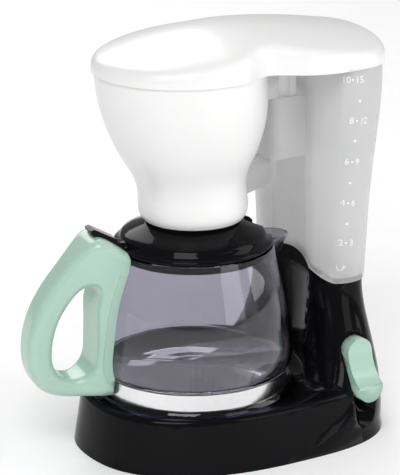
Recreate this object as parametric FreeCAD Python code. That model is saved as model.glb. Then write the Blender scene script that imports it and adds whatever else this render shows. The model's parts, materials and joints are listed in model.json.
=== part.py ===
"""Toy coffee machine with a drip jug: a black base with a tall column, a see-through water
tank, a white filter holder that hooks into the tank, a hinged top lid, a sliding switch and
a clear jug with a mint handle.

Millimetres. The origin lies on the table under the middle of the jug's seat. +X runs from the
jug to the column, +Z is up, and the switch is on the -Y side.
"""
import FreeCAD
import Part
import math
import os

V = FreeCAD.Vector
UP = V(0, 0, 1)
AXIS_X = V(1, 0, 0)
AXIS_Y = V(0, 1, 0)

# Walls and running gaps
wall = 2.2
tank_wall = 1.8
seat_gap = 0.25
slide_gap = 0.1
pin_gap = 0.06

# Base plate that carries the jug
plinth_top = 31.0
plinth_centre_x = 36.0
plinth_front_reach = 103.0
plinth_rear_reach = 71.5
plinth_half_width = 66.8
plinth_draft = 4.5
plinth_edge_round = 3.0
plinth_roundness = 2.35
plinth_rear_roundness = 2.9
seat_depth = 0.8
seat_clearance = 1.2
cover_thick = 2.4
cover_pilot_radius = 1.3
cover_screw_radius = 1.25
cover_screw_length = 10.0
cover_head_radius = 2.8
cover_head_sink = 1.4
screw_clear_radius = 1.7
head_clearance = 0.4

# Column that rises behind the jug
column_top = 87.0
column_half_width = 40.0
column_rear_x = 97.5
column_centre_x = 78.0
column_front_x = 60.0
column_foot_rear_x = 110.0
column_roundness = 2.5
trough_low_radius = 62.8
trough_high_radius = 66.5
tongue_height = 12.5
tongue_half_width = 38.0
tongue_rear_x = 72.0

# Water tank
tank_seam = column_top
tank_top = 211.5
tank_proud = 0.8
tank_top_half_width = 52.5
tank_top_rear_x = 105.0
tank_top_centre_x = 70.0
tank_floor = 2.4
tank_screw_radius = 1.5
tank_screw_grip = 6.0
tank_head_radius = 2.4
driver_bore_radius = 2.6
tank_boss_radius = 3.4
tank_boss_height = 9.0

# Pocket on the front of the tank, where the filter holder hooks in
pocket_front_x = 42.5
pocket_rear_x = 77.5
pocket_half_width = 15.5
pocket_low = 156.5
pocket_high = 191.0
pocket_wall = 1.5
pocket_round = 5.0

# Filter holder
bowl_rim = tank_top
bowl_low = 128.0
bowl_wall = 2.0
bowl_floor_z = 137.0
drip_hole_radius = 2.5
foot_recess = 4.0
foot_round = 1.5
tongue_gap = 0.5
tongue_rear = 57.0
groove_radius = 4.6
groove_x = 50.3

# Top lid
lid_wall = 2.2
lid_edge_round = 6.5
lid_arch_shoulder = 3.2
lid_arch_edge = 12.0
lid_overhang = 1.0
lid_skirt_depth = 4.0
lid_skirt_gap = 0.6
lid_skirt_wall = 1.6
hinge_x = 109.5
hinge_z = 207.0
hinge_pin_radius = 1.6
hinge_barrel_radius = 3.3
hinge_barrel_half = 9.0
hinge_lug_width = 4.0

# Switch on the near side
switch_x = 76.0
switch_half_width = 8.0
switch_top = 58.0
switch_length = 34.0
switch_travel = 12.0
switch_out_y = 65.0
switch_face_y = 45.0
recess_bottom = 8.0
post_radius = 4.0
slot_half_width = 3.4
slot_bottom = 15.0
stem_bottom = 28.5
stem_length = 20.0
slide_plate_thick = 1.8
slide_plate_low = 16.2
slide_plate_high = 56.5

# Jug
jug_turn = 10.0
jug_bottom = plinth_top - seat_depth
jug_wall = 1.8
jug_foot_radius = 55.7
jug_foot_height = 3.6
jug_band_radius = 53.2
jug_band_height = 9.4
jug_body_radius = 54.9
jug_rim_radius = 44.6
jug_rim_z = 112.5
jug_floor = 2.0
jug_collar_radius = 52.0
spout_reach = 57.0
spout_radius = 10.5

# Jug lid
jug_lid_radius = 43.9
jug_lid_top = 126.6
pour_gap_x = 27.5
jug_hinge_x = -48.0
jug_hinge_z = 117.2
jug_hinge_half = 5.0
jug_pin_radius = 1.3

# Handle
handle_half = 10.0
handle_edge_round = 5.0
handle_hole_round = 4.0
root_half = 16.5
root_thick = 4.5
clip_heights = (52.0, 84.0)


def spline_loop(points):
    """Closed smooth wire through points."""
    curve = Part.BSplineCurve()
    curve.interpolate(points, PeriodicFlag=True)
    return Part.Wire([curve.toShape()])


def oval(centre_x, front, rear, half_width, roundness, z, rear_roundness=None, count=20):
    """Closed egg-shaped outline: its halves have their own reach and squareness."""
    points = []
    for i in range(count):
        angle = 2 * math.pi * i / count
        c, s = math.cos(angle), math.sin(angle)
        reach = rear if c > 0 else front
        power = 2 / (rear_roundness if rear_roundness and c > 0 else roundness)
        x = centre_x + reach * math.copysign(abs(c) ** power, c)
        y = half_width * math.copysign(abs(s) ** power, s)
        points.append(V(x, y, z))
    return spline_loop(points)


def loft(wires):
    return Part.makeLoft(wires, True, False)


def cylinder(radius, height, x, y, z, axis=UP):
    return Part.makeCylinder(radius, height, V(x, y, z), axis)


def box(x0, y0, z0, x1, y1, z1):
    return Part.makeBox(x1 - x0, y1 - y0, z1 - z0, V(x0, y0, z0))


def fuse(first, *others):
    return first.multiFuse(list(others))


def revolve(points):
    """Solid of revolution about the jug's axis from (radius, z) corners."""
    corners = [V(r, 0, z) for r, z in points]
    wire = Part.makePolygon(corners + corners[:1])
    return Part.Face(wire).revolve(V(0, 0, 0), UP, 360)


def ring(outer, inner, z0, z1):
    return cylinder(outer, z1 - z0, 0, 0, z0).cut(cylinder(inner, z1 - z0 + 2, 0, 0, z0 - 1))


def stadium(x, half_width, z0, z1, y0, y1):
    """Upright slot shape in the XZ plane, from depth y0 to y1."""
    low = z0 + half_width
    high = z1 - half_width
    depth = y1 - y0
    middle = box(x - half_width, y0, low, x + half_width, y1, high)
    ends = [cylinder(half_width, depth, x, y0, z, AXIS_Y) for z in (low, high)]
    return fuse(middle, *ends).removeSplitter()


def plate_xz(corners, y0, y1):
    """Flat piece from (x, z) corners, from depth y0 to y1."""
    points = [V(x, y0, z) for x, z in corners]
    return Part.Face(Part.makePolygon(points + points[:1])).extrude(V(0, y1 - y0, 0))


def turned(shape):
    """Jug pieces stand turned a little on their seat, as the jug was put down."""
    result = shape.copy()
    result.rotate(V(0, 0, 0), UP, -jug_turn)
    return result


# Base
def plinth_body(inset):
    low = oval(plinth_centre_x, plinth_front_reach - inset, plinth_rear_reach - inset,
               plinth_half_width - inset, plinth_roundness, 0, plinth_rear_roundness)
    draft = inset + plinth_draft
    high = oval(plinth_centre_x, plinth_front_reach - draft, plinth_rear_reach - draft,
                plinth_half_width - draft, plinth_roundness, plinth_top - inset,
                plinth_rear_roundness)
    body = loft([low, high])
    if inset == 0:
        rim = [e for e in body.Edges if e.BoundBox.ZMin > plinth_top - 0.1]
        body = body.makeFillet(plinth_edge_round, rim)
    return body


def column_body(inset, top):
    """The column spreads downwards into the base plate. Each row: how far down, spread."""
    stations = ((0.0, 0.0, 0.0), (0.28, 0.2, 0.05), (0.54, 0.54, 0.16), (0.8, 0.87, 0.55),
                (1.0, 0.96, 1.0))
    wires = []
    for down, spread, shift in stations:
        z = column_top * (1 - down)
        centre = column_centre_x + (plinth_centre_x - column_centre_x) * shift
        rear = column_rear_x + (column_foot_rear_x - column_rear_x) * spread
        half = column_half_width + (plinth_half_width - column_half_width) * spread
        front = column_front_x - 4 * spread - 60 * shift ** 2
        wires.append(oval(centre, centre - front - inset, rear - centre - inset,
                          half - inset, column_roundness, z))
    wires.reverse()
    body = loft(wires)
    if top > column_top:
        upper = oval(column_centre_x, column_centre_x - column_front_x - inset,
                     column_rear_x - column_centre_x - inset, column_half_width - inset,
                     column_roundness, column_top)
        body = body.fuse(Part.Face(upper).extrude(V(0, 0, top - column_top)))
    return body


def trough(extra, top):
    """Round hollow in the column's front, about the jug's axis."""
    low = trough_low_radius + extra
    high = trough_high_radius + extra
    z0 = plinth_top if extra == 0 else plinth_top - extra
    cone = Part.makeCone(low, high, column_top - z0, V(0, 0, z0), UP)
    return cone.fuse(cylinder(high, top - column_top + 1, 0, 0, column_top))


def tongue_front(depth, lift):
    """Arched wall behind the jug that carries the tank's front, in front of tongue_rear_x."""
    half = tongue_half_width
    peak = column_top + tongue_height + lift
    side = column_top + lift
    arch = Part.BSplineCurve()
    arch.interpolate([V(0, -half - 20, side), V(0, -half, side), V(0, -24, side + 6.6),
                      V(0, 0, peak), V(0, 24, side + 6.6), V(0, half, side),
                      V(0, half + 20, side)])
    ends = (V(0, -half - 20, side), V(0, half + 20, side))
    under = 30
    low = Part.makePolygon([ends[1], V(0, half + 20, side - under),
                            V(0, -half - 20, side - under), ends[0]])
    profile = Part.Wire([arch.toShape()] + low.Edges)
    shape = Part.Face(profile).extrude(V(depth, 0, 0))
    shape.translate(V(tongue_rear_x - depth, 0, 0))
    return shape


def below_seam(lift):
    """All that lies under the seam between column and tank, raised by lift."""
    flat = box(-100, -100, -50, 200, 100, column_top + lift)
    return flat.fuse(tongue_front(40, lift))


def base_outer():
    tall = column_body(0, column_top + tongue_height + 1).common(below_seam(0))
    tall = tall.cut(trough(0, column_top + tongue_height + 5))
    return plinth_body(0).fuse(tall)


def base_inner():
    """Space inside the moulding, open at the bottom."""
    tall = column_body(wall, column_top + tongue_height - wall).common(below_seam(-wall))
    tall = tall.cut(trough(wall, column_top + tongue_height + 5))
    low = plinth_body(wall)
    return low.fuse(tall)


def make_base_shell():
    recess_top = switch_top + 0.6
    rim = switch_half_width + 0.5
    housing = stadium(switch_x, rim + wall, recess_bottom - wall, recess_top + wall,
                      -plinth_half_width - 5, -switch_face_y + wall)
    void = base_inner().cut(housing)
    for x, y in tank_screw_places() + cover_screw_places():
        void = void.cut(cylinder(post_radius, 150, x, y, cover_thick))
    shell = base_outer().cut(void)
    shell = shell.cut(cylinder(jug_foot_radius + seat_clearance, 5, 0, 0, plinth_top - seat_depth))
    recess = stadium(switch_x, rim, recess_bottom, recess_top, -plinth_half_width - 5,
                     -switch_face_y)
    slot = stadium(switch_x, slot_half_width, slot_bottom, stem_bottom + stem_length + 0.6,
                   -switch_face_y - 5, -switch_face_y + 5)
    shell = shell.cut(recess).cut(slot)
    for x, y in tank_screw_places():
        shell = shell.cut(cylinder(driver_bore_radius, column_top - wall + 1, x, y, -1))
        shell = shell.cut(cylinder(screw_clear_radius, 20, x, y, column_top - 10))
    for x, y in cover_screw_places():
        shell = shell.cut(cylinder(cover_pilot_radius, cover_screw_length + 4, x, y, cover_thick))
    return shell


def cover_screw_places():
    return ((-50, 0), (20, 52), (20, -52), (92, 0))


def tank_screw_places():
    return ((82, 24), (82, -24))


def make_base_cover():
    low = oval(plinth_centre_x, plinth_front_reach - wall - seat_gap,
               plinth_rear_reach - wall - seat_gap, plinth_half_width - wall - seat_gap,
               plinth_roundness, 0, plinth_rear_roundness)
    plate = Part.Face(low).extrude(V(0, 0, cover_thick))
    inner = base_inner()
    plate = plate.common(inner)
    for x, y in cover_screw_places():
        plate = plate.cut(cylinder(screw_clear_radius, 10, x, y, -1))
        head_hole = cover_head_radius + head_clearance
        plate = plate.cut(cylinder(head_hole, cover_head_sink + 1, x, y, -1))
    for x, y in tank_screw_places():
        plate = plate.cut(cylinder(driver_bore_radius + 0.8, 10, x, y, -1))
    return plate


def screw(x, y, z, head_radius, shank_radius, length):
    """Pan-head screw that points up, with its head's underside at z."""
    head = cylinder(head_radius, 1.2, x, y, z - 1.2)
    slot_a = box(x - head_radius * 0.6, y - 0.35, z - 1.3, x + head_radius * 0.6, y + 0.35, z - 0.6)
    slot_b = box(x - 0.35, y - head_radius * 0.6, z - 1.3, x + 0.35, y + head_radius * 0.6, z - 0.6)
    shank = cylinder(shank_radius, length, x, y, z)
    return head.fuse(shank).cut(slot_a).cut(slot_b)


def make_cover_screws():
    screws = [screw(x, y, cover_head_sink, cover_head_radius, cover_screw_radius,
                    cover_screw_length) for x, y in cover_screw_places()]
    return Part.makeCompound(screws)


def make_tank_screws():
    z = column_top - wall
    screws = [screw(x, y, z, tank_head_radius, tank_screw_radius, wall + tank_screw_grip)
              for x, y in tank_screw_places()]
    return Part.makeCompound(screws)


# Water tank
def tank_body(inset, z0, z1):
    """The tank widens towards its top. Each row: height share, spread."""
    stations = ((0.0, 0.0), (0.27, 0.22), (0.53, 0.52), (0.79, 0.94), (1.0, 1.0))
    wires = []
    for up, spread in stations:
        z = tank_seam + (tank_top - tank_seam) * up
        centre = column_centre_x + (tank_top_centre_x - column_centre_x) * spread
        rear = column_rear_x + tank_proud + (tank_top_rear_x - column_rear_x - tank_proud) * spread
        low_half = column_half_width + tank_proud
        half = low_half + (tank_top_half_width - low_half) * spread
        front = column_front_x - tank_proud
        wires.append(oval(centre, centre - front - inset, rear - centre - inset, half - inset,
                          column_roundness, z))
    body = loft(wires)
    body = body.cut(cylinder(trough_high_radius - tank_proud + inset, 300, 0, 0, 0))
    return body.common(box(0, -100, z0, 200, 100, z1))


def tank_plan(inset, z0, z1):
    """Upright block with the outline of the tank's top, moved in by inset."""
    rim = oval(tank_top_centre_x, tank_top_centre_x - column_front_x + tank_proud - inset,
               tank_top_rear_x - tank_top_centre_x - inset, tank_top_half_width - inset,
               column_roundness, z0)
    block = Part.Face(rim).extrude(V(0, 0, z1 - z0))
    return block.cut(cylinder(trough_high_radius - tank_proud + inset, 300, 0, 0, 0))


def pocket_block(grow, z0, z1, x1):
    """Upright block with round front corners. Grow 0 is the pocket's own hollow."""
    half = pocket_half_width - pocket_wall + grow
    front_x = pocket_front_x + pocket_wall - grow
    block = box(front_x, -half, z0, x1, half, z1)
    front = [e for e in block.Edges if e.BoundBox.XMax < front_x + 0.1 and e.BoundBox.ZLength > 1]
    return block.makeFillet(pocket_round, front)


def make_water_tank():
    outer = tank_body(0, tank_seam - 1, tank_top).cut(below_seam(0))
    sleeve = pocket_block(pocket_wall, pocket_low, pocket_high, pocket_rear_x)
    roof = box(tongue_rear_x - 10, -pocket_half_width, pocket_high - 1, pocket_rear_x,
               pocket_half_width, pocket_high + pocket_wall)
    void = tank_body(tank_wall, tank_seam, tank_top).cut(below_seam(tank_floor))
    void = void.cut(sleeve).cut(roof)
    for x, y in tank_screw_places():
        void = void.cut(cylinder(tank_boss_radius, tank_boss_height, x, y, tank_seam))
    tank = outer.fuse(sleeve).cut(void)
    cavity = pocket_block(0, pocket_low + pocket_wall, pocket_high, pocket_rear_x - pocket_wall)
    tank = tank.cut(cavity)
    for x, y in tank_screw_places():
        pilot = cylinder(tank_screw_radius + 0.05, tank_screw_grip + 1, x, y, tank_seam - 1)
        tank = tank.cut(pilot)
    return fuse(tank, *tank_lugs())


def tank_lugs():
    """Two ears at the rear of the tank's rim that carry the lid's pin."""
    lugs = []
    for side in (-1, 1):
        y0 = side * (hinge_barrel_half + seat_gap)
        y1 = y0 + side * hinge_lug_width
        y0, y1 = min(y0, y1), max(y0, y1)
        eye = cylinder(hinge_barrel_radius, y1 - y0, hinge_x, y0, hinge_z, AXIS_Y)
        gusset = ((tank_top_rear_x - 3, hinge_z - 12), (tank_top_rear_x - 1, hinge_z - 12),
                  (hinge_x + 1, hinge_z - hinge_barrel_radius + 0.2), (hinge_x, hinge_z),
                  (hinge_x, hinge_z + hinge_barrel_radius),
                  (tank_top_rear_x - 3, hinge_z + hinge_barrel_radius))
        web = plate_xz(gusset, y0, y1)
        lug = eye.fuse(web).cut(tank_body(tank_wall * 0.5, tank_seam, tank_top + 5))
        bore = cylinder(hinge_pin_radius, 60, hinge_x, -30, hinge_z, AXIS_Y)
        lugs.append(lug.cut(bore))
    return lugs


# Filter holder
def bowl_body(inset, z0, z1):
    """Funnel that leans forward: rows of height, radius and forward shift."""
    rows = ((bowl_rim, 46.9, 7.4), (198, 46.2, 6.6), (187, 44.7, 5.4), (174, 41.0, 4.2),
            (164.5, 37.0, 3.4), (156, 32.6, 2.6), (150, 30.5, 1.6), (143, 29.8, 0.5),
            (130, 29.1, 0))
    wires = []
    for z, radius, shift in reversed(rows):
        circle = Part.makeCircle(radius - inset, V(-shift, 0, z), UP)
        wires.append(Part.Wire([circle]))
    body = loft(wires)
    return body.common(box(-100, -100, z0, 100, 100, z1))


def make_filter_holder():
    upper = bowl_body(0, 130, bowl_rim)
    foot = Part.makeCone(29.1 - foot_round, 29.1, 130 - bowl_low, V(0, 0, bowl_low), UP)
    bowl = upper.fuse(foot)
    shoulder_half = pocket_half_width - 2.0
    shoulder_rear = column_front_x - tank_proud - 1.0
    shoulder = box(30, -shoulder_half, pocket_high, shoulder_rear, shoulder_half, bowl_rim - 4.5)
    tongue = pocket_block(-tongue_gap, pocket_low + 5, pocket_high + 1, tongue_rear)
    web_top = pocket_low - seat_gap
    web = plate_xz(((24, 133), (49.5, 139), (49.5, web_top), (24, web_top)), -1.5, 1.5)
    holder = bowl.fuse(shoulder).fuse(tongue).fuse(web)
    inner = bowl_body(bowl_wall, bowl_floor_z, bowl_rim + 0.01)
    holder = holder.cut(inner)
    for side in (-1, 1):
        groove = cylinder(groove_radius, 60, groove_x, side * (pocket_half_width + 0.1), pocket_low)
        holder = holder.cut(groove)
    holder = holder.cut(cylinder(drip_hole_radius, 40, 0, 0, bowl_low - 5))
    holder = holder.cut(cylinder(25.5, foot_recess, 0, 0, bowl_low - 0.01))
    return holder.removeSplitter()


# Top lid
def lid_outline(inset, z):
    """Two lobes in plan: a round one over the filter, a wider one over the tank."""
    tank_centre, tank_front, tank_rear = 68.0, 48.9, tank_top_rear_x + 2 - 68.0
    tank_half = tank_top_half_width + 1.5
    bowl_centre, bowl_radius = -7.9, 46.9 + lid_overhang
    waist_x, waist_half = 23.0, 38.9
    half = []
    for degrees in (0, 16, 34, 52, 70, 90, 108, 124):
        a = math.radians(degrees)
        reach = tank_rear if degrees < 90 else tank_front
        c, s = math.cos(a), math.sin(a)
        power = 2 / column_roundness
        x = tank_centre + (reach - inset) * math.copysign(abs(c) ** power, c)
        half.append((x, (tank_half - inset) * abs(s) ** power))
    half.append((waist_x, waist_half - inset))
    for degrees in (72, 90, 108, 126, 144, 162, 180):
        a = math.radians(degrees)
        half.append((bowl_centre + (bowl_radius - inset) * math.cos(a),
                     (bowl_radius - inset) * math.sin(a)))
    other = [(x, -y) for x, y in reversed(half[1:-1])]
    return spline_loop([V(x, y, z) for x, y in half + other])


def lid_roof(drop):
    """Crowned top: arches across the machine, strung along a hump from front to rear."""
    ridge = ((-62, 218.0), (-40, 223.4), (-15, 229.0), (15, 231.9), (50, 231.6), (80, 228.2),
             (112, 223.0))
    wires = []
    for x, z in ridge:
        arch = Part.BSplineCurve()
        top = z - drop
        edge = top - lid_arch_edge
        shoulder = top - lid_arch_shoulder
        arch.interpolate([V(x, -62, edge), V(x, -32, shoulder), V(x, 0, top),
                          V(x, 32, shoulder), V(x, 62, edge)])
        low = Part.makePolygon([V(x, 62, edge), V(x, 62, 180), V(x, -62, 180), V(x, -62, edge)])
        wires.append(Part.Wire([arch.toShape()] + low.Edges))
    return loft(wires)


def far_half(shape):
    return shape.common(box(-150, 0, 0, 200, 150, 400))


def lid_solid(inset, z0):
    """Far half of the lid's body, moved in by inset, from z0 up."""
    plan = far_half(Part.Face(lid_outline(inset, z0)).extrude(V(0, 0, 60)))
    body = plan.common(lid_roof(inset))
    top_edge = [e for e in body.Edges
                if e.BoundBox.ZMin > z0 + 3 and e.BoundBox.YMax > 20 and e.Length > 30]
    return body.makeFillet(lid_edge_round - inset, top_edge)


def make_top_lid():
    """The lid is the same on both sides, so its far half is made and mirrored."""
    seam = tank_top
    lid = lid_solid(0, seam).cut(lid_solid(lid_wall, seam - 0.01))
    inside = tank_wall + lid_skirt_gap
    low = seam - lid_skirt_depth
    ledge = tank_plan(0.2, seam, seam + lid_skirt_wall)
    skirt = tank_plan(inside, low, seam + lid_skirt_wall).fuse(ledge)
    skirt = skirt.cut(tank_plan(inside + lid_skirt_wall, low - 1, seam + 5))
    skirt = skirt.cut(box(88, -70, 150, 130, 70, 260))
    barrel = cylinder(hinge_barrel_radius, 2 * hinge_barrel_half, hinge_x, -hinge_barrel_half,
                      hinge_z, AXIS_Y)
    arm_front = tank_top_rear_x + 0.6
    arm = box(arm_front, -hinge_barrel_half, hinge_z, hinge_x, hinge_barrel_half, seam + 3)
    knuckle = barrel.fuse(arm)
    knuckle = knuckle.cut(cylinder(hinge_pin_radius + pin_gap, 80, hinge_x, -40, hinge_z, AXIS_Y))
    half = fuse(lid, far_half(skirt), far_half(knuckle))
    return half.fuse(half.mirror(V(0, 0, 0), AXIS_Y))


def make_lid_pin():
    reach = hinge_barrel_half + seat_gap + hinge_lug_width
    return cylinder(hinge_pin_radius, 2 * reach, hinge_x, -reach, hinge_z, AXIS_Y)


# Switch
def make_switch_knob():
    """Upright button with round ends, hollowed for the thumb, on a flat stem."""
    body = stadium(switch_x, switch_half_width, switch_top - switch_length, switch_top,
                   -switch_out_y, -switch_face_y - slide_gap)
    scoop_radius = 24.0
    scoop = cylinder(scoop_radius, 60, switch_x - 30, -switch_out_y - 12.5, switch_top - 4.0, AXIS_X)
    body = body.cut(scoop)
    stem = stadium(switch_x, slot_half_width - slide_gap, stem_bottom, stem_bottom + stem_length,
                   -switch_face_y - slide_gap - 0.5, -switch_face_y + wall + slide_gap)
    knob = body.fuse(stem)
    hole = cylinder(0.95, 12, switch_x, -switch_face_y - 6, stem_bottom + stem_length / 2, AXIS_Y)
    return knob.cut(hole)


def make_slide_plate():
    """White plate behind the slot. Its tail hides the slot below the knob."""
    y0 = -switch_face_y + wall + slide_gap
    plate = stadium(switch_x, slot_half_width + 4, slide_plate_low, slide_plate_high,
                    y0, y0 + slide_plate_thick)
    return plate.cut(cylinder(1.25, 20, switch_x, y0 - 4, switch_screw_z(), AXIS_Y))


def switch_screw_z():
    return stem_bottom + stem_length / 2


def make_switch_screw():
    y = -switch_face_y + wall + slide_gap + slide_plate_thick
    length = slide_plate_thick + 6
    head = cylinder(2.4, 1.2, switch_x, y, switch_screw_z(), AXIS_Y)
    shank = cylinder(0.9, length, switch_x, y - length, switch_screw_z(), AXIS_Y)
    return head.fuse(shank)


# Jug
def jug_base():
    """Height of the seam between the silver band and the clear body."""
    return jug_bottom + jug_foot_height + jug_band_height


def jug_side(inset, z_low, z_high):
    """Solid inside of the jug's curved side, moved in by inset, between two heights."""
    r = jug_body_radius - inset
    seam = jug_base()
    rim = jug_rim_radius - inset
    rows = ((r - 1.2, seam), (r, seam + 3), (r, 66.0), (r - 1.5, 79.0), (r - 4.5, 93.0),
            (rim + 2.3, 104.0), (rim, jug_rim_z))
    curve = Part.BSplineCurve()
    curve.interpolate([V(x, 0, z) for x, z in rows])
    over = jug_rim_z + 30
    tail = Part.makePolygon([V(rim, 0, jug_rim_z), V(rim, 0, over), V(0, 0, over), V(0, 0, 0),
                             V(r - 1.2, 0, 0), V(r - 1.2, 0, seam)])
    solid = Part.Face(Part.Wire([curve.toShape()] + tail.Edges)).revolve(V(0, 0, 0), UP, 360)
    return solid.common(cylinder(100, z_high - z_low, 0, 0, z_low))


def spout(inset, z_high):
    """Pouring lip: a leaning cone that grows out of the neck."""
    low = Part.makeCircle(4.5 - inset, V(42, 0, 93), V(0.45, 0, 1))
    high = Part.makeCircle(spout_radius - inset, V(spout_reach - spout_radius, 0, z_high),
                           V(0.2, 0, 1))
    return loft([Part.Wire([low]), Part.Wire([high])])


def make_jug_body():
    seam = jug_base()
    lip = spout(0, jug_rim_z + 3).common(box(0, -40, 80, 90, 40, jug_rim_z))
    outer = jug_side(0, seam, jug_rim_z).fuse(lip)
    inner = jug_side(jug_wall, seam + jug_floor, jug_rim_z + 5)
    inner = inner.fuse(spout(jug_wall * 0.8, jug_rim_z + 3))
    collar = ring(jug_collar_radius, jug_collar_radius - jug_wall, jug_bottom + 1.4, seam + 1)
    clips = [clip_block(z, 0) for z in clip_heights]
    body = outer.fuse(collar).fuse(clips)
    return turned(body.cut(inner))


def clip_block(z, side_gap):
    """Moulded lug on the jug's wall that fills a pocket in the handle."""
    reach = jug_body_radius + 3.0
    return box(-reach - side_gap, -4 - side_gap, z - 5, 8 - reach, 4 + side_gap, z + 5)


def make_jug_band():
    low = jug_bottom + jug_foot_height
    inner = jug_collar_radius + 0.05
    return turned(ring(jug_band_radius, inner, low, low + jug_band_height))


def make_jug_foot():
    """Ring under the jug: holds the band from below and stands in the seat."""
    low = jug_bottom
    top = jug_bottom + jug_foot_height
    inner = jug_collar_radius + 0.05
    edge = jug_foot_radius
    outline = ((edge - 1.0, low), (edge, low + 0.9), (edge - 0.4, low + 2.4),
               (edge - 1.8, top), (inner, top), (inner, low + 1.3), (44.0, low + 1.3), (44.0, low))
    return turned(revolve(outline))


def make_jug_lid():
    """Black lid: a flange on the rim, a step, a low cone and a drip well in the middle."""
    z = jug_rim_z
    r = jug_lid_radius
    top = jug_lid_top
    outline = (
        (r - 0.6, z), (r, z + 0.6), (r, z + 2.0), (r - 0.7, z + 2.8), (r - 3.3, z + 3.3),
        (r - 3.5, z + 6.0), (r - 5.3, z + 7.8), (29.0, top - 2.0), (26.0, top - 0.2), (18.0, top),
        (16.2, top - 1.0), (14.6, top - 4.6), (13.8, z + 5.2), (3.2, z + 3.8), (2.6, z + 3.2),
        (2.6, z + 1.8), (14.9, z + 3.4), (16.4, z + 5.0), (17.0, top - 4.2), (18.6, top - 2.2),
        (25.4, top - 2.2), (28.2, top - 3.9), (r - 6.7, z + 6.0), (r - 5.3, z + 4.8),
        (r - 5.3, z - 5.0), (r - 2.9, z - 5.0), (r - 1.6, z - 3.6), (r - 1.4, z))
    lid = revolve(outline)
    lid = lid.cut(box(pour_gap_x, -9, z + 2.0, 60, 9, top + 5))
    lid = lid.cut(box(pour_gap_x + 2.5, -7.5, z - 20, 60, 7.5, z + 8))
    x, h = jug_hinge_x, jug_hinge_z
    eye = cylinder(3.0, 2 * jug_hinge_half, x, -jug_hinge_half, h, AXIS_Y)
    arm = plate_xz(((-38.8, z + 0.8), (x, h - 3), (x, h + 3), (-38.8, z + 5.5)),
                   -jug_hinge_half, jug_hinge_half)
    thumb = plate_xz(((-45, h + 1.5), (-46, h + 4.2), (-52, h + 7.4), (-58.5, h + 11),
                      (-61, h + 10.6), (-60.6, h + 8.8), (-52.4, h + 4.0), (x - 2, h)),
                     -jug_hinge_half, jug_hinge_half)
    lid = fuse(lid, eye, arm, thumb)
    return turned(lid.cut(cylinder(jug_pin_radius + pin_gap, 40, x, -20, h, AXIS_Y)))


def make_jug_lid_pin():
    reach = handle_half - 2.0
    return turned(cylinder(jug_pin_radius, 2 * reach, jug_hinge_x, -reach, jug_hinge_z, AXIS_Y))


# Handle
def handle_bow():
    """Side view of the handle, closed behind the jug's wall."""
    outer = ((-44, 116.4), (-51, 121.4), (-58.4, 124.2), (-65, 120.4), (-77.8, 107.3),
             (-87.2, 95.6), (-94.8, 81.4), (-98.4, 66.0), (-97.0, 50.8), (-92, 42.0), (-84, 37.2),
             (-73, 35.0), (-60, 34.6), (-47, 34.6))
    curve = Part.BSplineCurve()
    curve.interpolate([V(x, 0, z) for x, z in outer])
    top, low = outer[0], outer[-1]
    close = Part.makePolygon([V(low[0], 0, low[1]), V(-36, 0, 38), V(-36, 0, 112),
                              V(top[0], 0, top[1])])
    return Part.Wire([curve.toShape()] + close.Edges)


def handle_plan():
    """Plan view of the handle: slim at the grip, flared where it meets the jug."""
    side = ((-115, 0.0), (-95, 0.0), (-80, 0.05), (-70, 0.9), (-62.5, 3.4), (-56.5, 5.3),
            (-46, 5.9), (-34, 6.0))
    left = Part.BSplineCurve()
    left.interpolate([V(x, handle_half + flare, 0) for x, flare in side])
    right = Part.BSplineCurve()
    right.interpolate([V(x, -handle_half - flare, 0) for x, flare in side])
    ends = []
    for x, flare in (side[0], side[-1]):
        half = handle_half + flare
        ends.append(Part.makeLine(V(x, -half, 0), V(x, half, 0)))
    edges = Part.sortEdges([left.toShape(), right.toShape()] + ends)[0]
    return Part.Face(Part.Wire(edges)).extrude(V(0, 0, 200))


def handle_hole():
    points = ((-61.0, 98.4), (-67.5, 96.2), (-73.5, 90.4), (-79, 82.6), (-83, 73), (-84.8, 62),
              (-83.2, 52.0), (-77.5, 46.4), (-69.5, 46.0), (-62.8, 50.6), (-60.6, 61), (-60.2, 76),
              (-59.5, 88), (-58.4, 95.2))
    return spline_loop([V(x, 0, z) for x, z in points])


def handle_root():
    """Broad plate that hugs the jug behind the handle."""
    low, high = 36.5, jug_rim_z
    plate = box(-80, -root_half, low, -30, root_half, high)
    corners = [e for e in plate.Edges if e.BoundBox.XLength > 1]
    return plate.makeFillet(8.0, corners)


def make_jug_handle():
    solid = Part.Face(handle_bow()).extrude(V(0, 4 * handle_half, 0))
    solid.translate(V(0, -2 * handle_half, 0))
    solid = solid.common(handle_plan())
    rim = [e for e in solid.Edges if e.BoundBox.YLength < handle_half and e.BoundBox.XMin < -90]
    solid = solid.makeFillet(handle_edge_round, rim)
    hole = Part.Face(handle_hole()).extrude(V(0, 4 * handle_half, 0))
    hole.translate(V(0, -2 * handle_half, 0))
    solid = solid.cut(hole)
    rim = [e for e in solid.Edges if e.BoundBox.YLength < handle_half
           and -90 < e.BoundBox.XMin < -80 and e.BoundBox.XMax < -50]
    solid = solid.makeFillet(handle_hole_round, rim)
    skin = jug_side(-root_thick, 0, jug_rim_z)
    solid = solid.fuse(handle_root().common(skin))
    gap = 0.1
    solid = solid.cut(jug_side(-gap, 0, jug_rim_z + 30))
    solid = solid.cut(cylinder(jug_body_radius + gap, 60, 0, 0, 0))
    for z in clip_heights:
        solid = solid.cut(clip_block(z, 0.05))
    h = jug_hinge_z
    slot = plate_xz(((-30, 108), (-51.6, 108), (-51.9, h + 2.4), (-61.5, h + 7.8), (-62.5, h + 20),
                     (-30, h + 20)), -jug_hinge_half - seat_gap, jug_hinge_half + seat_gap)
    solid = solid.cut(slot)
    bore = cylinder(jug_pin_radius, 2 * handle_half - 4, jug_hinge_x, 2 - handle_half, h, AXIS_Y)
    return turned(solid.cut(bore))


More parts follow.
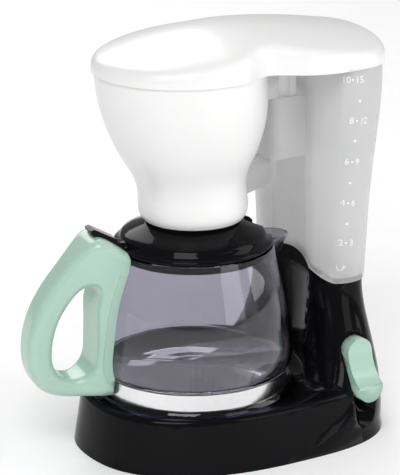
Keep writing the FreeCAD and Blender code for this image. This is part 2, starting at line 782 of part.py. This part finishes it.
NODES = {
    "base_shell": make_base_shell,
    "base_cover": make_base_cover,
    "cover_screws": make_cover_screws,
    "water_tank": make_water_tank,
    "tank_screws": make_tank_screws,
    "filter_holder": make_filter_holder,
    "top_lid": make_top_lid,
    "lid_pin": make_lid_pin,
    "switch_knob": make_switch_knob,
    "slide_plate": make_slide_plate,
    "switch_screw": make_switch_screw,
    "jug_body": make_jug_body,
    "jug_band": make_jug_band,
    "jug_foot": make_jug_foot,
    "jug_lid": make_jug_lid,
    "jug_lid_pin": make_jug_lid_pin,
    "jug_handle": make_jug_handle,
}


def main():
    os.makedirs("parts", exist_ok=True)
    for name, build in NODES.items():
        shape = build()
        shape.exportStep("parts/" + name + ".step")
        print(name, len(shape.Solids), shape.isValid(), round(shape.Volume))


if __name__ == "__main__":
    main()
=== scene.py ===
"""Looks of the toy coffee machine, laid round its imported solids. Metres, Z up."""
import json
import math

import bmesh
import bpy
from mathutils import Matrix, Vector
from mathutils.bvhtree import BVHTree


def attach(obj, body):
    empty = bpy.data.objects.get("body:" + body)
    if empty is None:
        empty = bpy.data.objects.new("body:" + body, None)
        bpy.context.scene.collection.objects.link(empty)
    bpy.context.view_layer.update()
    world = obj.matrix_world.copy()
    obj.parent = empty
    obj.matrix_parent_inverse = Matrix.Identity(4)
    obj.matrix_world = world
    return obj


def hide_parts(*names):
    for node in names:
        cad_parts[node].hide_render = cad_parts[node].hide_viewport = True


bl_info = {
    "name": "Toy coffee machine",
    "version": (1, 0, 0),
    "blender": (4, 5, 0),
    "location": "View3D > Sidebar > Toy coffee machine",
    "description": "Dresses the toy coffee machine in its plastics and details",
    "category": "Object",
}

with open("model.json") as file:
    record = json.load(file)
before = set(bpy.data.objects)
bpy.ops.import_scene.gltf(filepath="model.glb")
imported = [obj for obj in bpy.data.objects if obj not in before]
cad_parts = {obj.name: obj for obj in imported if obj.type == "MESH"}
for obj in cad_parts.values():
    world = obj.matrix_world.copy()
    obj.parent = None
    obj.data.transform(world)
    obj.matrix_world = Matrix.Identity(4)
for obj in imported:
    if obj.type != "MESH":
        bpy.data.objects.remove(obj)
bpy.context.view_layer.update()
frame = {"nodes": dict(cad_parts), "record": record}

MM = 0.001
MERGE_DISTANCE = 1e-6
SHARP_ANGLE = 32.0
TANK_SHARP_ANGLE = 25.0
SCREW_SHARP_ANGLE = 30.0

# The photo's frame in pixels, and the camera that fits it
FRAME_WIDE = 400.0
FRAME_HIGH = 475.0
FOCAL_PIXELS = 2252.5
SENSOR = 36.0
CAMERA_TURN = math.radians(32.0)
CAMERA_PITCH = math.radians(17.9055)
CAMERA_HEIGHT = 0.495633
CAMERA_SIDE = 0.0039235

# World light on the object and in its gloss, where 1 is white
PLAIN_LIGHT = 0.42
GLOSS_LIGHT = 0.3

# Lamps: name, place, target, width, height and watts
LAMPS = (
    ("key", (-0.9, -0.9, 1.3), (0.0, 0.0, 0.12), 0.9, 0.9, 15.0),
    ("fill", (1.2, -0.7, 0.7), (0.03, 0.0, 0.12), 0.7, 1.1, 6.0),
    ("front", (0.35, -1.0, 0.35), (0.05, 0.0, 0.14), 0.5, 0.6, 1.6),
    ("rim", (0.3, 1.3, 1.1), (0.03, 0.0, 0.12), 1.0, 1.0, 9.0),
)
FLOOR_RADIUS = 3.0
FLOOR_SIDES = 64
FLOOR_GLOW = 0.12

# Screws in millimetres: solid, piece, places, height of the heads' undersides, head radius,
# shank radius and shank length
SCREWS = (
    ("cover_screws", "cover_screw_set", ((-50, 0), (20, 52), (20, -52), (92, 0)),
     1.4, 2.8, 1.25, 10.0),
    ("tank_screws", "tank_screw_set", ((82, 24), (82, -24)), 84.8, 2.4, 1.5, 8.2),
)
HEAD_HEIGHT = 1.2
HEAD_SIDES = 40
SHANK_SIDES = 24
# The crossed recess: bar length and width in head radii, bar height in head heights
RECESS_LONG = 1.2
RECESS_WIDE = 0.24
RECESS_DROP = -0.6

# Water scale: pairs of numbers and single dots, each where it stands in the photo's frame
SCALE_ROWS = ((353, 80, "10", "15"), (357, 121, "8", "12"), (352, 162, "6", "9"),
              (348, 203, "4", "6"), (346, 243, "2", "3"))
SCALE_DOTS = ((360, 101), (355, 141), (350, 183), (347, 224))
NUMBER_GAP = 3.6
NUMBER_STEP = 1.6
SINGLE_DOT = 1.3
DOT_SIDES = 18
TEXT_SIZE = 1.4
PRINT_LIFT = 0.00006

# The cup sign at the scale's foot, in millimetres
CUP_PIXEL = (340, 268)
CUP_BOWL = ((-2.2, 1.4), (-1.9, -0.9), (-1.2, -1.5), (1.0, -1.5), (1.7, -0.9), (2.0, 1.4),
            (1.6, 1.4), (1.3, -0.7), (0.8, -1.1), (-1.0, -1.1), (-1.5, -0.7), (-1.8, 1.4))
CUP_HANDLE = ((2.0, 0.9), (3.1, 0.7), (3.1, -0.4), (1.8, -0.6), (1.85, -0.2), (2.7, -0.1),
              (2.7, 0.4), (1.95, 0.5))


# Shader maths
class Value:
    """A shader socket that takes part in sums and products."""

    def __init__(self, tree, socket):
        self.tree = tree
        self.socket = socket

    def _maths(self, operation, *values):
        node = self.tree.nodes.new("ShaderNodeMath")
        node.operation = operation
        for entry, value in zip(node.inputs, values):
            link_or_set(self.tree, entry, value)
        return Value(self.tree, node.outputs[0])

    def __add__(self, other):
        return self._maths("ADD", self, other)

    def __radd__(self, other):
        return self._maths("ADD", other, self)

    def __sub__(self, other):
        return self._maths("SUBTRACT", self, other)

    def __rsub__(self, other):
        return self._maths("SUBTRACT", other, self)

    def __mul__(self, other):
        return self._maths("MULTIPLY", self, other)

    def __rmul__(self, other):
        return self._maths("MULTIPLY", other, self)

    def clamped(self):
        node = self.tree.nodes.new("ShaderNodeClamp")
        link_or_set(self.tree, node.inputs["Value"], self)
        return Value(self.tree, node.outputs[0])


def link_or_set(tree, entry, value):
    """Links a socket to an input, or sets the input to a plain value."""
    if isinstance(value, Value):
        tree.links.new(value.socket, entry)
    else:
        entry.default_value = value


class Finish:
    """Builds one material's nodes."""

    def __init__(self, name):
        old = bpy.data.materials.get(name)
        if old:
            bpy.data.materials.remove(old)
        self.material = bpy.data.materials.new(name)
        self.material.use_nodes = True
        self.tree = self.material.node_tree
        self.tree.nodes.clear()
        self.output = self.tree.nodes.new("ShaderNodeOutputMaterial")
        self.place = Value(self.tree,
                           self.tree.nodes.new("ShaderNodeTexCoord").outputs["Object"])

    def node(self, kind, settings=None, out=0, **inputs):
        """Adds any node: its settings first, then the values or links of its sockets."""
        node = self.tree.nodes.new(kind)
        for key, value in (settings or {}).items():
            setattr(node, key, value)
        for key, value in inputs.items():
            wanted = key.replace("_", " ").lower()
            entry = next(i for i in node.inputs if i.name.lower() == wanted and i.enabled)
            link_or_set(self.tree, entry, value)
        return Value(self.tree, node.outputs[out])

    def noise(self, scale, detail=3.0, roughness=0.55, stretch=None):
        """Noise on the piece's own coordinates, stretched along an axis where asked."""
        place = self.place
        if stretch:
            place = self.node("ShaderNodeMapping", Vector=self.place, Scale=stretch)
        return self.node("ShaderNodeTexNoise", Vector=place, Scale=scale, Detail=detail,
                         Roughness=roughness)

    def mix(self, factor, first, second):
        """Mixes two colours."""
        node = self.tree.nodes.new("ShaderNodeMix")
        node.data_type = "RGBA"
        link_or_set(self.tree, node.inputs[0], factor)
        link_or_set(self.tree, node.inputs[6], first)
        link_or_set(self.tree, node.inputs[7], second)
        return Value(self.tree, node.outputs[2])

    def ramp(self, value, low, high):
        """Spreads the values from low to high over 0 to 1."""
        node = self.tree.nodes.new("ShaderNodeMapRange")
        link_or_set(self.tree, node.inputs["Value"], value)
        node.inputs["From Min"].default_value = low
        node.inputs["From Max"].default_value = high
        return Value(self.tree, node.outputs[0])

    def bump(self, height, strength, distance):
        return self.node("ShaderNodeBump", Strength=strength, Distance=distance, Height=height)

    def shade(self, **sockets):
        """Ends the material in one plain shader."""
        shader = self.tree.nodes.new("ShaderNodeBsdfPrincipled")
        for key, value in sockets.items():
            entry = shader.inputs[key.replace("_", " ").title().replace("Ior", "IOR")]
            link_or_set(self.tree, entry, value)
        self.tree.links.new(shader.outputs[0], self.output.inputs[0])
        return self.material


def rgba(colour, factor=1.0):
    """Colour times a factor, with its alpha."""
    return tuple(part * factor for part in colour) + (1.0,)


def moulded_plastic(name, colour, cloudy, roughness, coat, ior=1.5):
    """Glossy moulded plastic: faint flow shade, handling marks and a soft orange-peel skin."""
    f = Finish(name)
    cloud = f.ramp(f.noise(18.0, 4.0), 0.35, 0.7)
    marks = f.ramp(f.noise(420.0, 6.0, 0.7), 0.45, 0.75)
    scratch = f.ramp(f.noise(90.0, 2.0, 0.5, (1.0, 9.0, 14.0)), 0.62, 0.72)
    peel = f.noise(260.0, 2.0, 0.4)
    tint = f.mix(cloud, rgba(colour), rgba(colour, cloudy))
    rough = (roughness + marks * 0.035 + scratch * 0.05).clamped()
    normal = f.bump(peel + scratch * -0.05, 0.06, 0.0004)
    return f.shade(base_color=tint, roughness=rough, normal=normal, coat_weight=coat,
                   coat_roughness=0.06, ior=ior)


def frosted_glowing_tank(name, colour, cloudy):
    """Milky see-through wall of the tank, with a faint painted glow that lightens its shaded sides.
    """
    f = Finish(name)
    flow = f.ramp(f.noise(9.0, 4.0, 0.5, (1.0, 1.0, 0.35)), 0.3, 0.75)
    grain = f.noise(900.0, 2.0, 0.5)
    tint = f.mix(flow, rgba(colour), rgba(colour, cloudy))
    rough = (0.34 + f.ramp(f.noise(60.0), 0.3, 0.8) * 0.08).clamped()
    # The emission is painted light: an even glow in the tank's own colour that brightens its shade.
    return f.shade(base_color=tint, roughness=rough, normal=f.bump(grain, 0.05, 0.0003),
                   transmission_weight=0.5, ior=1.25, alpha=0.74,
                   emission_color=rgba(colour), emission_strength=0.13)


def clear_plastic(name, colour, cloudy, roughness=0.015):
    """Clear tinted wall with faint moulding waves."""
    f = Finish(name)
    wave = f.noise(26.0, 2.0, 0.4)
    cloud = f.ramp(f.noise(14.0), 0.35, 0.7)
    dust = f.ramp(f.noise(700.0, 5.0, 0.7), 0.6, 0.8)
    tint = f.mix(cloud, rgba(colour), rgba(colour, cloudy))
    return f.shade(base_color=tint, roughness=(roughness + dust * 0.03).clamped(),
                   normal=f.bump(wave, 0.03, 0.0008), transmission_weight=1.0, ior=1.45)


def mirror_band(name, colour):
    """Metallised plastic band: mirror-bright with fine lines round it."""
    f = Finish(name)
    lines = f.noise(60.0, 3.0, 0.6, (0.3, 0.3, 22.0))
    spots = f.ramp(f.noise(220.0, 5.0), 0.55, 0.8)
    tint = f.mix(spots, rgba(colour), rgba(colour, 0.9))
    return f.shade(base_color=tint, metallic=1.0, roughness=(0.12 + lines * 0.1).clamped(),
                   normal=f.bump(lines, 0.08, 0.0002))


def screw_steel(name):
    """Turned steel of the screws and pins."""
    f = Finish(name)
    turn = f.noise(900.0, 3.0)
    return f.shade(base_color=f.mix(turn, (0.5, 0.5, 0.51, 1.0), (0.36, 0.36, 0.37, 1.0)),
                   metallic=1.0, roughness=(0.28 + turn * 0.15).clamped(),
                   normal=f.bump(turn, 0.05, 0.0001))


def print_white(name, colour):
    """Thin printed ink with slightly broken edges."""
    f = Finish(name)
    wear = f.ramp(f.noise(1400.0, 3.0), 0.3, 0.6)
    return f.shade(base_color=f.mix(wear, rgba(colour, 0.93), rgba(colour)),
                   roughness=(0.4 + wear * 0.1).clamped())


FINISHES = {}


def finishes():
    """Makes the materials once, from the colours in the panel."""
    if FINISHES:
        return FINISHES
    c = bpy.context.scene.coffee_colours
    FINISHES.update(
        white=moulded_plastic("white_plastic", c.white, 0.97, roughness=0.3, coat=0.12),
        mint=moulded_plastic("mint_plastic", c.mint, 0.94, roughness=0.24, coat=0.3),
        black=moulded_plastic("black_plastic", c.black, 1.4, roughness=0.08, coat=0.06, ior=1.16),
        cover=moulded_plastic("black_cover", c.black, 1.9, roughness=0.45, coat=0.0, ior=1.3),
        tank=frosted_glowing_tank("tank_plastic", c.tank, 0.95),
        jug=clear_plastic("smoke_clear", c.jug, 0.93),
        foot=clear_plastic("purple_clear", c.foot, 0.9),
        band=mirror_band("mirror_silver", c.band),
        steel=screw_steel("steel"),
        ink=print_white("tank_print", c.ink))
    return FINISHES


# Meshes
def body_of(node):
    """Name of the moving body that a solid belongs to."""
    groups = frame["record"]["behaviour"]["bodies"]
    return next(body for body, nodes in groups.items() if node in nodes)


def add_piece(name, mesh, finish, body):
    """Puts a finished mesh in the scene on its body."""
    mesh.name = name
    mesh.materials.clear()
    mesh.materials.append(finishes()[finish])
    piece = bpy.data.objects.new(name, mesh)
    bpy.context.scene.collection.objects.link(piece)
    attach(piece, body)
    return piece


def dress(node, name, finish, sharp=SHARP_ANGLE):
    """Smooth copy of a solid that takes the solid's place in the picture."""
    mesh = frame["nodes"][node].data.copy()
    build = bmesh.new()
    build.from_mesh(mesh)
    bmesh.ops.remove_doubles(build, verts=build.verts, dist=MERGE_DISTANCE)
    build.to_mesh(mesh)
    build.free()
    mesh.shade_smooth()
    mesh.set_sharp_from_angle(angle=math.radians(sharp))
    piece = add_piece(name, mesh, finish, body_of(node))
    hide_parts(node)
    return piece


def geometry_tree(name, inputs):
    """New Geometry Nodes tree with named inputs and a geometry output."""
    old = bpy.data.node_groups.get(name)
    if old:
        bpy.data.node_groups.remove(old)
    tree = bpy.data.node_groups.new(name, "GeometryNodeTree")
    tree.interface.new_socket("Geometry", in_out="INPUT", socket_type="NodeSocketGeometry")
    sockets = {}
    for label, kind in inputs:
        sockets[label] = tree.interface.new_socket(label, in_out="INPUT", socket_type=kind)
    tree.interface.new_socket("Geometry", in_out="OUTPUT", socket_type="NodeSocketGeometry")
    return tree, sockets


def bake_tree(points, tree, sockets, values, name):
    """Runs a tree on loose points and returns the plain mesh."""
    base = bpy.data.meshes.new(name + "_points")
    base.from_pydata(points, [], [])
    holder = bpy.data.objects.new(name + "_holder", base)
    bpy.context.scene.collection.objects.link(holder)
    modifier = holder.modifiers.new("build", "NODES")
    modifier.node_group = tree
    for label, value in values.items():
        modifier[sockets[label].identifier] = value
    graph = bpy.context.evaluated_depsgraph_get()
    mesh = bpy.data.meshes.new_from_object(holder.evaluated_get(graph))
    holder.modifiers.remove(modifier)
    bpy.data.objects.remove(holder)
    return mesh


def screw_tree():
    """Pan-head screws that point up, one on each point, each with a crossed recess."""
    tree, sockets = geometry_tree("screw_set", (
        ("Head Radius", "NodeSocketFloat"), ("Head Height", "NodeSocketFloat"),
        ("Shank Radius", "NodeSocketFloat"), ("Shank Length", "NodeSocketFloat"),
        ("Finish", "NodeSocketMaterial")))
    new = tree.nodes.new
    link = tree.links.new
    entry = new("NodeGroupInput")

    def times(socket, factor):
        node = new("ShaderNodeMath")
        node.operation = "MULTIPLY"
        node.inputs[1].default_value = factor
        link(socket, node.inputs[0])
        return node.outputs[0]

    def round_bar(sides, radius, height):
        node = new("GeometryNodeMeshCylinder")
        node.inputs["Vertices"].default_value = sides
        link(entry.outputs[radius], node.inputs["Radius"])
        link(entry.outputs[height], node.inputs["Depth"])
        return node.outputs["Mesh"]

    def raised(geometry, rise, turn=0.0):
        node = new("GeometryNodeTransform")
        node.inputs["Rotation"].default_value = (0.0, 0.0, turn)
        place = new("ShaderNodeCombineXYZ")
        link(rise, place.inputs[2])
        link(place.outputs[0], node.inputs["Translation"])
        link(geometry, node.inputs["Geometry"])
        return node.outputs["Geometry"]

    cross = new("GeometryNodeMeshBoolean")
    cross.operation = "DIFFERENCE"
    cross.solver = "EXACT"
    link(round_bar(HEAD_SIDES, "Head Radius", "Head Height"), cross.inputs["Mesh 1"])
    for turn in (0.0, math.pi / 2):
        bar = new("GeometryNodeMeshCube")
        size = new("ShaderNodeCombineXYZ")
        link(times(entry.outputs["Head Radius"], RECESS_LONG), size.inputs[0])
        link(times(entry.outputs["Head Radius"], RECESS_WIDE), size.inputs[1])
        link(entry.outputs["Head Height"], size.inputs[2])
        link(size.outputs[0], bar.inputs["Size"])
        drop = times(entry.outputs["Head Height"], RECESS_DROP)
        link(raised(bar.outputs["Mesh"], drop, turn), cross.inputs["Mesh 2"])
    shank = round_bar(SHANK_SIDES, "Shank Radius", "Shank Length")
    both = new("GeometryNodeJoinGeometry")
    link(raised(cross.outputs["Mesh"], times(entry.outputs["Head Height"], -0.5)), both.inputs[0])
    link(raised(shank, times(entry.outputs["Shank Length"], 0.5)), both.inputs[0])
    copies = new("GeometryNodeInstanceOnPoints")
    link(entry.outputs["Geometry"], copies.inputs["Points"])
    link(both.outputs["Geometry"], copies.inputs["Instance"])
    real = new("GeometryNodeRealizeInstances")
    link(copies.outputs["Instances"], real.inputs["Geometry"])
    coat = new("GeometryNodeSetMaterial")
    link(real.outputs["Geometry"], coat.inputs["Geometry"])
    link(entry.outputs["Finish"], coat.inputs["Material"])
    link(coat.outputs["Geometry"], new("NodeGroupOutput").inputs["Geometry"])
    return tree, sockets


def camera_ray(pixel):
    """Start and direction of the sight line through a pixel of the photo's frame."""
    camera = bpy.context.scene.camera
    focal = camera.data.lens / camera.data.sensor_width * FRAME_HIGH
    ahead = Vector(((pixel[0] - FRAME_WIDE / 2) / focal, (FRAME_HIGH / 2 - pixel[1]) / focal, -1.0))
    return camera.location.copy(), (camera.matrix_world.to_3x3() @ ahead).normalized()


def set_screws(tree, sockets, node, name, places, z, head_radius, shank_radius, length):
    """Screws at places in millimetres, with their heads' undersides at height z."""
    points = [(x * MM, y * MM, z * MM) for x, y in places]
    values = {"Head Radius": head_radius * MM, "Head Height": HEAD_HEIGHT * MM,
              "Shank Radius": shank_radius * MM, "Shank Length": length * MM,
              "Finish": finishes()["steel"]}
    mesh = bake_tree(points, tree, sockets, values, name)
    mesh.shade_smooth()
    mesh.set_sharp_from_angle(angle=math.radians(SCREW_SHARP_ANGLE))
    piece = add_piece(name, mesh, "steel", body_of(node))
    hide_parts(node)


def surface_of(piece):
    """Tree of a piece's faces, to cast sight lines at."""
    mesh = piece.data
    return BVHTree.FromPolygons([v.co for v in mesh.vertices],
                                [p.vertices[:] for p in mesh.polygons])


def laid_print(shape, pixel, shell):
    """Lays flat points (across, up) on the shell where the sight line through a pixel meets it."""
    eye, way = camera_ray(pixel)
    spot, normal = shell.ray_cast(eye, way)[:2]
    if spot is None:
        raise RuntimeError("the sight line misses the tank")
    across = Vector((0.0, 0.0, 1.0)).cross(normal).normalized()
    up = normal.cross(across)
    points = []
    for x, y in shape:
        near, near_normal = shell.find_nearest(spot + across * x + up * y)[:2]
        points.append(near + near_normal * PRINT_LIFT)
    return points


def digits_mesh(text, height):
    """Flat mesh of a number, centred, with its height in metres."""
    curve = bpy.data.curves.new("digits", "FONT")
    curve.body = text
    curve.size = height * TEXT_SIZE
    curve.align_x = "CENTER"
    curve.align_y = "CENTER"
    curve.resolution_u = 3
    holder = bpy.data.objects.new("digits", curve)
    bpy.context.scene.collection.objects.link(holder)
    graph = bpy.context.evaluated_depsgraph_get()
    mesh = bpy.data.meshes.new_from_object(holder.evaluated_get(graph))
    points = [(v.co.x, v.co.y) for v in mesh.vertices]
    faces = [tuple(p.vertices) for p in mesh.polygons]
    bpy.data.objects.remove(holder)
    bpy.data.meshes.remove(mesh)
    return points, faces


def disc(radius, count=DOT_SIDES):
    """Flat round face."""
    turns = [2 * math.pi * i / count for i in range(count)]
    points = [(radius * math.cos(turn), radius * math.sin(turn)) for turn in turns]
    return points, [tuple(range(count))]


def print_scale(context):
    """Numbers in pairs with a dot between them, and single dots between the pairs."""
    sizes = context.scene.coffee_sizes
    shell = surface_of(bpy.data.objects["water_tank_body"])
    points = []
    faces = []

    def put(shape, shape_faces, pixel):
        start = len(points)
        points.extend(laid_print(shape, pixel, shell))
        faces.extend([tuple(start + i for i in face) for face in shape_faces])

    for x, y, left, right in SCALE_ROWS:
        for number, side in ((left, -1.0), (right, 1.0)):
            reach = NUMBER_GAP + NUMBER_STEP * len(number)
            put(*digits_mesh(number, sizes.digit_height), (x + side * reach, y))
        put(*disc(sizes.dot_radius), (x, y))
    for pixel in SCALE_DOTS:
        put(*disc(sizes.dot_radius * SINGLE_DOT), pixel)
    for outline in (CUP_BOWL, CUP_HANDLE):
        shape = [(x * MM, y * MM) for x, y in outline]
        put(shape, [tuple(range(len(shape)))], CUP_PIXEL)
    mesh = bpy.data.meshes.new("water_scale")
    mesh.from_pydata([tuple(p) for p in points], [], faces)
    mesh.validate()
    add_piece("water_scale", mesh, "ink", body_of("water_tank"))


def lamp(name, place, target, width, height, power):
    """Soft rectangular lamp that looks at its target."""
    data = bpy.data.lights.new(name, "AREA")
    data.shape = "RECTANGLE"
    data.size = width
    data.size_y = height
    data.energy = power
    item = bpy.data.objects.new(name, data)
    item.location = place
    item.rotation_euler = (Vector(target) - Vector(place)).to_track_quat("-Z", "Y").to_euler()
    bpy.context.scene.collection.objects.link(item)


def backdrop_light(tree):
    """World light: plain on the object, dim in its gloss, pale for the camera and clear walls."""
    path = tree.nodes.new("ShaderNodeLightPath")
    camera, clear, gloss = (Value(tree, path.outputs[name]) for name in (
        "Is Camera Ray", "Is Transmission Ray", "Is Glossy Ray"))
    pale = (camera + clear).clamped()
    level = pale + (1.0 - pale) * (gloss * GLOSS_LIGHT + (1.0 - gloss) * PLAIN_LIGHT)
    light = tree.nodes.new("ShaderNodeBackground")
    light.inputs[0].default_value = (1.0, 1.0, 1.0, 1.0)
    link_or_set(tree, light.inputs[1], level)
    return light


def set_camera(context):
    """Camera at the photo's angle."""
    scene = context.scene
    heading = Vector((math.sin(CAMERA_TURN), math.cos(CAMERA_TURN), 0.0))
    right = Vector((math.cos(CAMERA_TURN), -math.sin(CAMERA_TURN), 0.0))
    data = bpy.data.cameras.new("photo_camera")
    data.sensor_width = SENSOR
    data.lens = FOCAL_PIXELS / FRAME_HIGH * SENSOR
    data.clip_start = 0.05
    data.clip_end = 20.0
    camera = bpy.data.objects.new("photo_camera", data)
    camera.location = (right * CAMERA_SIDE - heading * scene.coffee_sizes.camera_distance
                       + Vector((0, 0, CAMERA_HEIGHT)))
    look = heading * math.cos(CAMERA_PITCH) + Vector((0, 0, -math.sin(CAMERA_PITCH)))
    camera.rotation_mode = "QUATERNION"
    camera.rotation_quaternion = look.to_track_quat("-Z", "Y")
    scene.collection.objects.link(camera)
    scene.camera = camera
    context.view_layer.update()


def set_world(scene):
    """World that lights the object softly and looks white."""
    world = bpy.data.worlds.new("studio")
    scene.world = world
    world.use_nodes = True
    tree = world.node_tree
    tree.nodes.clear()
    shader = backdrop_light(tree)
    output = tree.nodes.new("ShaderNodeOutputWorld")
    tree.links.new(shader.outputs[0], output.inputs[0])


def lay_floor(scene):
    """Pale paper floor."""
    ring, faces = disc(FLOOR_RADIUS, FLOOR_SIDES)
    mesh = bpy.data.meshes.new("floor")
    mesh.from_pydata([(x, y, 0.0) for x, y in ring], [], faces)
    floor = bpy.data.objects.new("floor", mesh)
    scene.collection.objects.link(floor)
    f = Finish("floor_paper")
    grain = f.ramp(f.noise(30.0, 4.0), 0.3, 0.7)
    paper = f.mix(grain, (0.93, 0.93, 0.93, 1.0), (0.9, 0.9, 0.9, 1.0))
    f.shade(base_color=paper, roughness=0.8, emission_color=(1.0, 1.0, 1.0, 1.0),
            emission_strength=FLOOR_GLOW)
    mesh.materials.append(f.material)


def set_stage(context):
    """Camera, world, floor and lamps."""
    context.scene.view_settings.view_transform = "Standard"
    set_camera(context)
    set_world(context.scene)
    lay_floor(context.scene)
    for settings in LAMPS:
        lamp(*settings)


# Settings that a user would change
class CoffeeColours(bpy.types.PropertyGroup):
    white: bpy.props.FloatVectorProperty(
        name="White", description="Colour of the lid, the filter holder and the slide plate",
        subtype="COLOR", min=0.0, max=1.0, default=(0.84, 0.84, 0.835))
    mint: bpy.props.FloatVectorProperty(
        name="Mint", description="Colour of the handle and the switch",
        subtype="COLOR", min=0.0, max=1.0, default=(0.405, 0.60, 0.50))
    black: bpy.props.FloatVectorProperty(
        name="Black", description="Colour of the base and the jug's lid",
        subtype="COLOR", min=0.0, max=1.0, default=(0.003, 0.003, 0.0037))
    tank: bpy.props.FloatVectorProperty(
        name="Tank", description="Colour of the frosted water tank",
        subtype="COLOR", min=0.0, max=1.0, default=(0.66, 0.66, 0.665))
    jug: bpy.props.FloatVectorProperty(
        name="Jug", description="Tint of the clear jug",
        subtype="COLOR", min=0.0, max=1.0, default=(0.60, 0.585, 0.65))
    foot: bpy.props.FloatVectorProperty(
        name="Jug foot", description="Tint of the clear ring under the jug",
        subtype="COLOR", min=0.0, max=1.0, default=(0.52, 0.47, 0.78))
    band: bpy.props.FloatVectorProperty(
        name="Band", description="Colour of the mirrored band",
        subtype="COLOR", min=0.0, max=1.0, default=(0.82, 0.82, 0.83))
    ink: bpy.props.FloatVectorProperty(
        name="Tank print", description="Colour of the water level print",
        subtype="COLOR", min=0.0, max=1.0, default=(0.92, 0.92, 0.92))


class CoffeeSizes(bpy.types.PropertyGroup):
    digit_height: bpy.props.FloatProperty(
        name="Digit height", description="Height of the numbers on the tank",
        subtype="DISTANCE", min=0.001, max=0.01, default=0.0038)
    dot_radius: bpy.props.FloatProperty(
        name="Dot radius", description="Radius of the dots of the water scale",
        subtype="DISTANCE", min=0.0002, max=0.003, default=0.0006)
    camera_distance: bpy.props.FloatProperty(
        name="Camera distance", description="Level distance from the jug's axis to the camera",
        subtype="DISTANCE", min=0.3, max=5.0, default=1.177)


class COFFEE_OT_stage(bpy.types.Operator):
    """Floor, lamps, world and the camera at the photo's angle"""
    bl_idname = "coffee.stage"
    bl_label = "Stage"

    def execute(self, context):
        set_stage(context)
        return {"FINISHED"}


class COFFEE_OT_base(bpy.types.Operator):
    """Black base with its column, the cover below and the screws"""
    bl_idname = "coffee.base"
    bl_label = "Base"

    def execute(self, context):
        dress("base_shell", "base_moulding", "black")
        dress("base_cover", "base_underside", "cover")
        tree, sockets = screw_tree()
        for screws in SCREWS:
            set_screws(tree, sockets, *screws)
        return {"FINISHED"}


class COFFEE_OT_tank(bpy.types.Operator):
    """Frosted water tank"""
    bl_idname = "coffee.tank"
    bl_label = "Water tank"

    def execute(self, context):
        dress("water_tank", "water_tank_body", "tank", TANK_SHARP_ANGLE)
        return {"FINISHED"}


class COFFEE_OT_scale(bpy.types.Operator):
    """Water scale printed on the tank: numbers, dots and a cup sign"""
    bl_idname = "coffee.scale"
    bl_label = "Water scale"

    def execute(self, context):
        print_scale(context)
        return {"FINISHED"}


class COFFEE_OT_filter(bpy.types.Operator):
    """White filter holder"""
    bl_idname = "coffee.filter"
    bl_label = "Filter holder"

    def execute(self, context):
        dress("filter_holder", "filter_funnel", "white")
        return {"FINISHED"}


class COFFEE_OT_lid(bpy.types.Operator):
    """Top lid and its hinge pin"""
    bl_idname = "coffee.lid"
    bl_label = "Top lid"

    def execute(self, context):
        dress("top_lid", "top_lid_shell", "white")
        dress("lid_pin", "lid_hinge_pin", "steel")
        return {"FINISHED"}


class COFFEE_OT_switch(bpy.types.Operator):
    """Sliding switch, the plate behind it and its screw"""
    bl_idname = "coffee.switch"
    bl_label = "Switch"

    def execute(self, context):
        dress("switch_knob", "switch_button", "mint")
        dress("slide_plate", "switch_plate", "white")
        dress("switch_screw", "switch_plate_screw", "steel")
        return {"FINISHED"}


class COFFEE_OT_jug(bpy.types.Operator):
    """Clear jug with its band and foot ring"""
    bl_idname = "coffee.jug"
    bl_label = "Jug"

    def execute(self, context):
        dress("jug_body", "jug_clear_body", "jug")
        dress("jug_band", "jug_mirror_band", "band")
        dress("jug_foot", "jug_foot_ring", "foot")
        return {"FINISHED"}


class COFFEE_OT_jug_lid(bpy.types.Operator):
    """Black lid of the jug and its pin"""
    bl_idname = "coffee.jug_lid"
    bl_label = "Jug lid"

    def execute(self, context):
        dress("jug_lid", "jug_lid_cap", "black")
        dress("jug_lid_pin", "jug_lid_hinge_pin", "steel")
        return {"FINISHED"}


class COFFEE_OT_handle(bpy.types.Operator):
    """Mint handle of the jug"""
    bl_idname = "coffee.handle"
    bl_label = "Jug handle"

    def execute(self, context):
        dress("jug_handle", "jug_grip", "mint")
        return {"FINISHED"}


ORDER = (COFFEE_OT_stage, COFFEE_OT_base, COFFEE_OT_tank, COFFEE_OT_scale, COFFEE_OT_filter,
         COFFEE_OT_lid, COFFEE_OT_switch, COFFEE_OT_jug, COFFEE_OT_jug_lid, COFFEE_OT_handle)


class COFFEE_PT_panel(bpy.types.Panel):
    """Lists the pieces and their settings"""
    bl_label = "Toy coffee machine"
    bl_idname = "COFFEE_PT_panel"
    bl_space_type = "VIEW_3D"
    bl_region_type = "UI"
    bl_category = "Toy coffee machine"

    def draw(self, context):
        for group in (context.scene.coffee_colours, context.scene.coffee_sizes):
            for key in group.__annotations__:
                self.layout.prop(group, key)
        for operator in ORDER:
            self.layout.operator(operator.bl_idname)


CLASSES = (CoffeeColours, CoffeeSizes, COFFEE_PT_panel) + ORDER


def register():
    """Adds the classes and the scene's settings."""
    for item in CLASSES:
        bpy.utils.register_class(item)
    bpy.types.Scene.coffee_colours = bpy.props.PointerProperty(type=CoffeeColours)
    bpy.types.Scene.coffee_sizes = bpy.props.PointerProperty(type=CoffeeSizes)


def unregister():
    """Takes the classes and the scene's settings away."""
    del bpy.types.Scene.coffee_sizes
    del bpy.types.Scene.coffee_colours
    for item in reversed(CLASSES):
        bpy.utils.unregister_class(item)


def main():
    """Makes every piece in order."""
    register()
    for operator in ORDER:
        family, name = operator.bl_idname.split(".")
        getattr(getattr(bpy.ops, family), name)()


if __name__ == "__main__":
    main()
